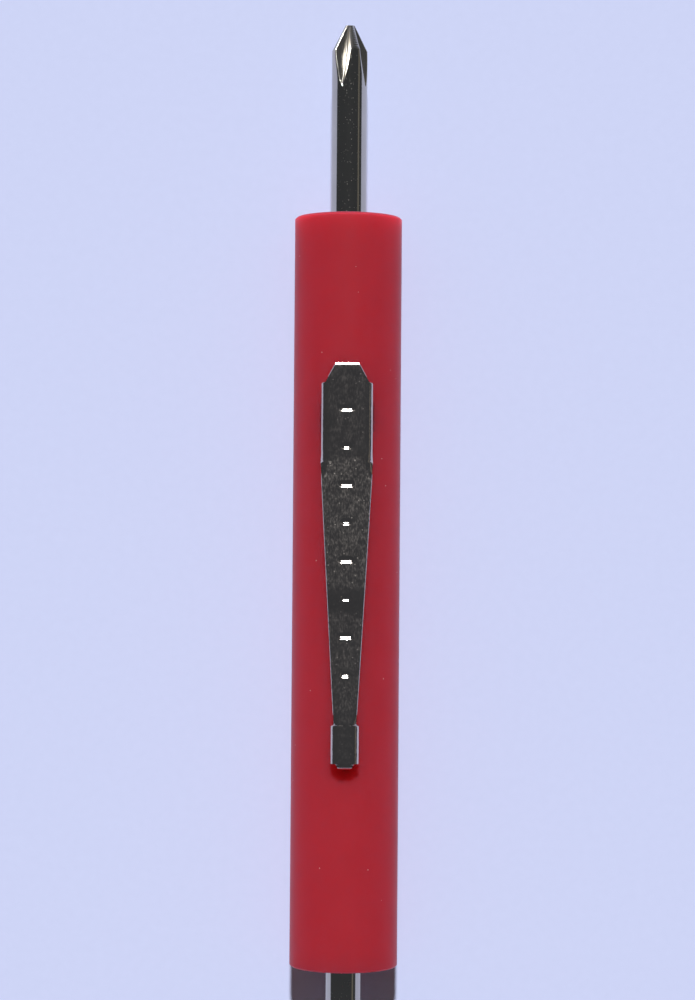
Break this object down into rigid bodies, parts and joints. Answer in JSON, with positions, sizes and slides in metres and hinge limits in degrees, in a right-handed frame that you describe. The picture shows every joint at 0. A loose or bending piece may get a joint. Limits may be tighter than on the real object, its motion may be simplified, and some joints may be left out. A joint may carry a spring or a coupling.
{
  "type": "pocket screwdriver",
  "caption": "Slim round pocket screwdriver: plastic barrel with a spring pocket clip, and a reversible double-ended blade keyed into each end.",
  "frame": {"origin": "On the surface that the barrel rests on, under the middle of the tool", "axes": "+Y along the tool towards the front blade's cross tip, +Z up through the clip, +X to the right when seen from above with +Y up"},
  "size_m": [0.0096, 0.1008, 0.0114],
  "materials": {
    "barrel_plastic": "extruded red cellulose plastic, glossy with fine draw lines",
    "socket_plastic": "moulded red plastic, satin",
    "spring_wire": "drawn spring wire",
    "blade_steel": "plated and polished steel, fine handling scratches",
    "clip_nickel": "nickel plated stamped spring steel, lightly scuffed"
  },
  "bodies": {
    "handle": {"handle_barrel": "barrel_plastic", "front_socket": "socket_plastic", "rear_socket": "socket_plastic", "front_retaining_ring": "spring_wire", "rear_retaining_ring": "spring_wire", "clip_base": "clip_nickel"},
    "front_blade": {"front_blade": "blade_steel"},
    "rear_blade": {"rear_blade": "blade_steel"},
    "clip_arm": {"clip_arm": "clip_nickel"}
  },
  "joints": [
    {"name": "front_blade_pull", "type": "slide", "parent": "handle", "child": "front_blade", "axis": [0, 1, 0], "range_m": [0, 0.027]},
    {"name": "rear_blade_pull", "type": "slide", "parent": "handle", "child": "rear_blade", "axis": [0, -1, 0], "range_m": [0, 0.027]},
    {"name": "clip_flex", "type": "hinge", "parent": "handle", "child": "clip_arm", "pos_m": [0, 0.01164, 0.00983], "axis": [-1, 0, 0], "range_deg": [0, 5], "stiffness_Nm_per_rad": 1}
  ]
}
